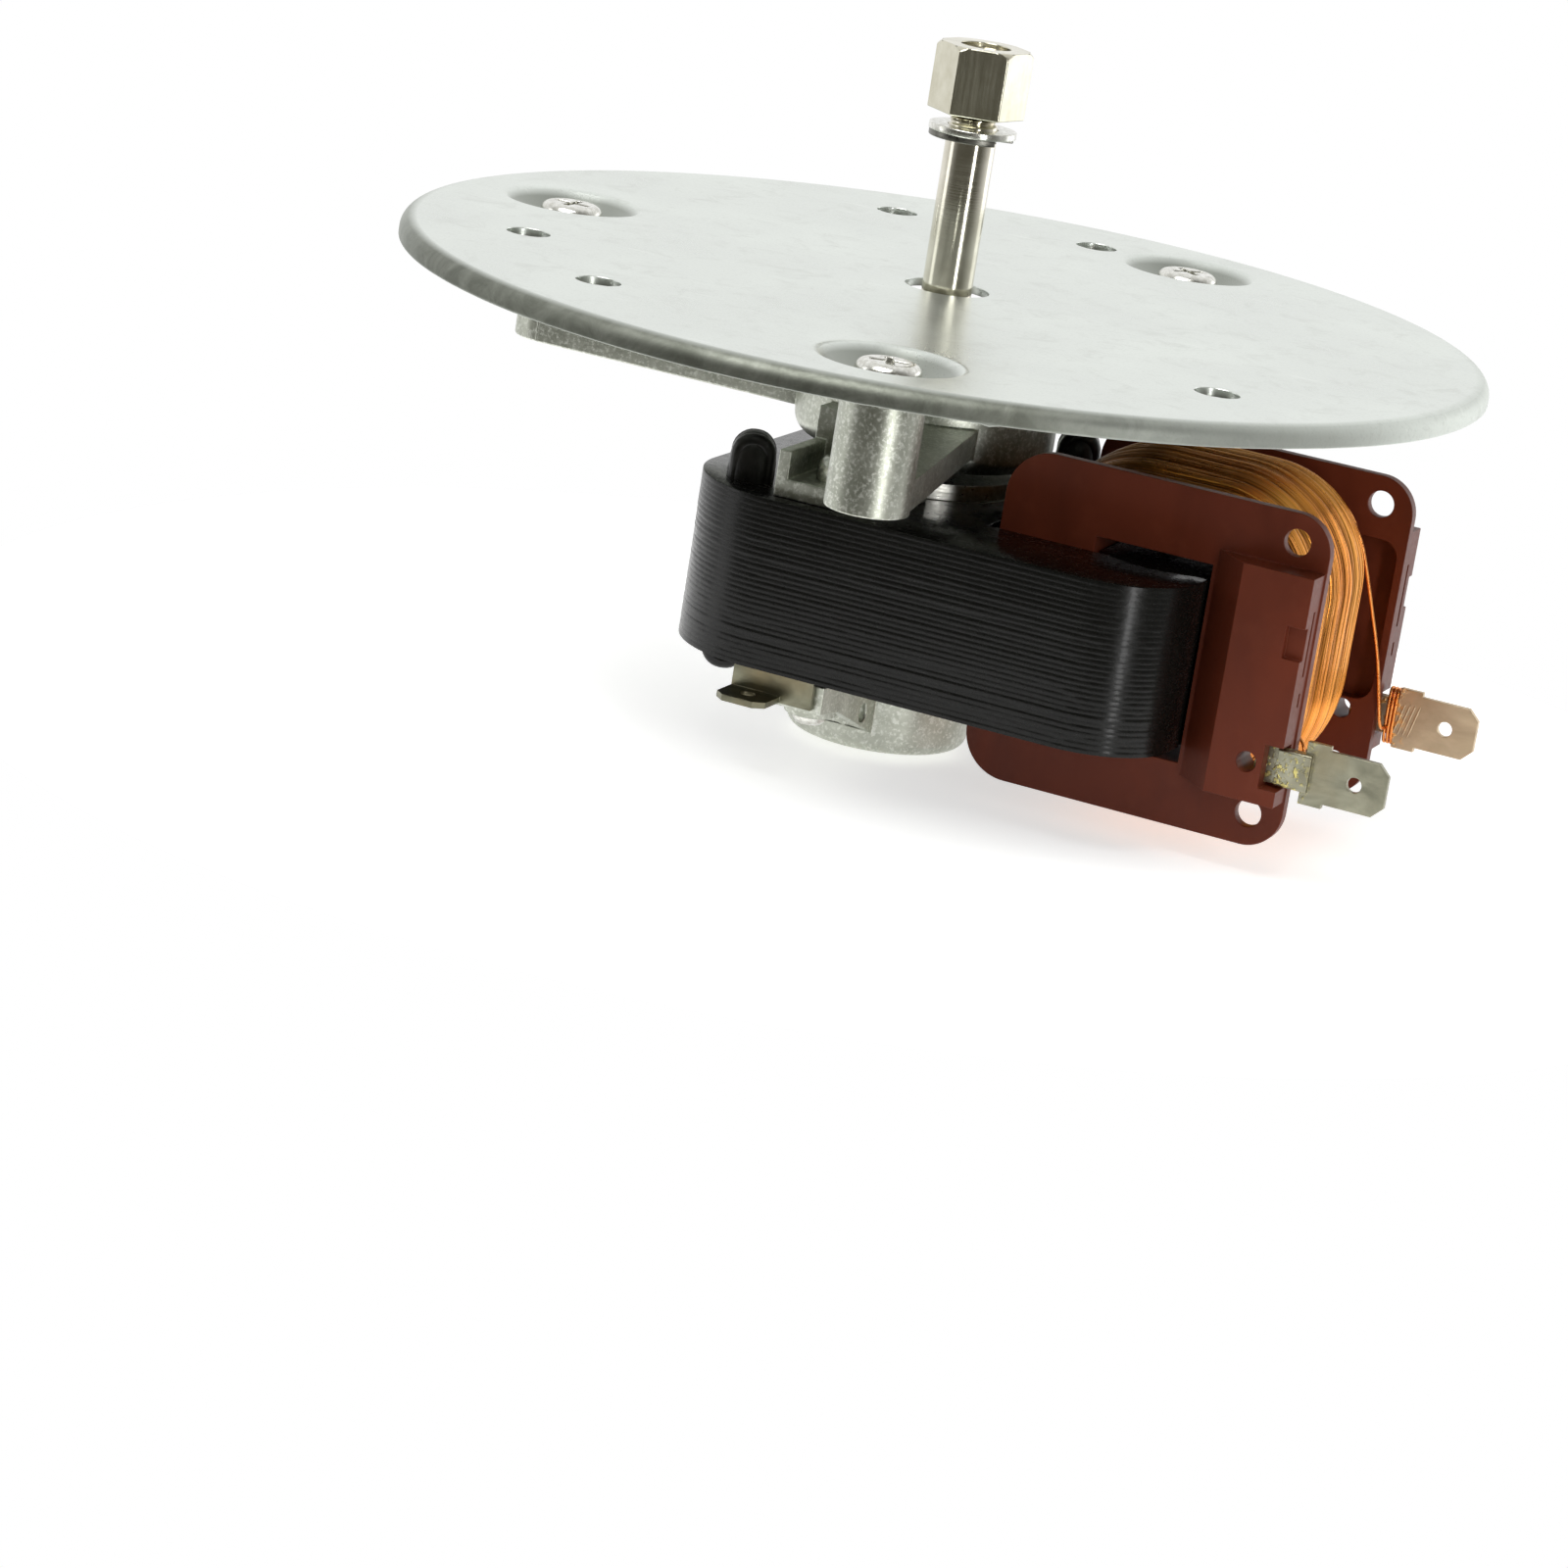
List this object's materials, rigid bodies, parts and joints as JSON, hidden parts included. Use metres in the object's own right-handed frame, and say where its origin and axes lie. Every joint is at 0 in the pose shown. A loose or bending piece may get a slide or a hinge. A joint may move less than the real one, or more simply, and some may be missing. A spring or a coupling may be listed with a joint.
{
  "type": "oven fan motor",
  "caption": "Shaded-pole fan motor on a round plate: C-shaped laminated core, coil at one side, cast brackets and a shaft with a nut for the fan.",
  "frame": {"origin": "on the shaft's axis, at the front face of the mounting plate", "axes": "+Z out along the shaft, +X towards the coil, Y across the core"},
  "size_m": [0.1339, 0.13, 0.0839],
  "materials": {
    "plate_steel": "satin zinc plate",
    "screw_steel": "bright zinc",
    "shaft_steel": "ground and nickel plated",
    "spring_steel": "dark oiled",
    "die_cast": "as cast, satin",
    "core_steel": "black varnish, gloss",
    "rotor_steel": "turned",
    "rotor_aluminium": "cast",
    "shading_copper": "copper under dark varnish",
    "winding_copper": "enamelled copper wire",
    "bobbin_plastic": "moulded, satin",
    "terminal_tin": "tin plated",
    "tag_steel": "dull plated",
    "bearing_bronze": "sintered, oiled",
    "felt": "oiled felt",
    "rotor_plastic": "moulded"
  },
  "bodies": {
    "stator": {"bottom_bracket": "die_cast", "bracket_screws": "screw_steel", "coil_bobbin": "bobbin_plastic", "coil_lead_front": "winding_copper", "coil_lead_rear": "winding_copper", "coil_winding": "winding_copper", "core_yoke": "core_steel", "earth_tag": "tag_steel", "lower_bearing": "bearing_bronze", "lower_bearing_spring": "spring_steel", "lower_felt": "felt", "mounting_plate": "plate_steel", "plate_screws": "screw_steel", "shading_rings": "shading_copper", "stator_core": "core_steel", "terminal_front": "terminal_tin", "terminal_rear": "terminal_tin", "top_bracket": "die_cast", "upper_bearing": "bearing_bronze", "upper_bearing_spring": "spring_steel", "upper_felt": "felt"},
    "rotor": {"shaft": "shaft_steel", "shaft_nut": "shaft_steel", "shaft_washer": "screw_steel", "retaining_clip": "spring_steel", "rotor_core": "rotor_steel", "rotor_cage": "rotor_aluminium", "rotor_spacers": "rotor_plastic", "thrust_washers": "rotor_plastic"}
  },
  "joints": [
    {"name": "rotor_spin", "type": "hinge", "parent": "stator", "child": "rotor", "pos_m": [0, 0, 0], "axis": [0, 0, 1], "continuous": true}
  ]
}
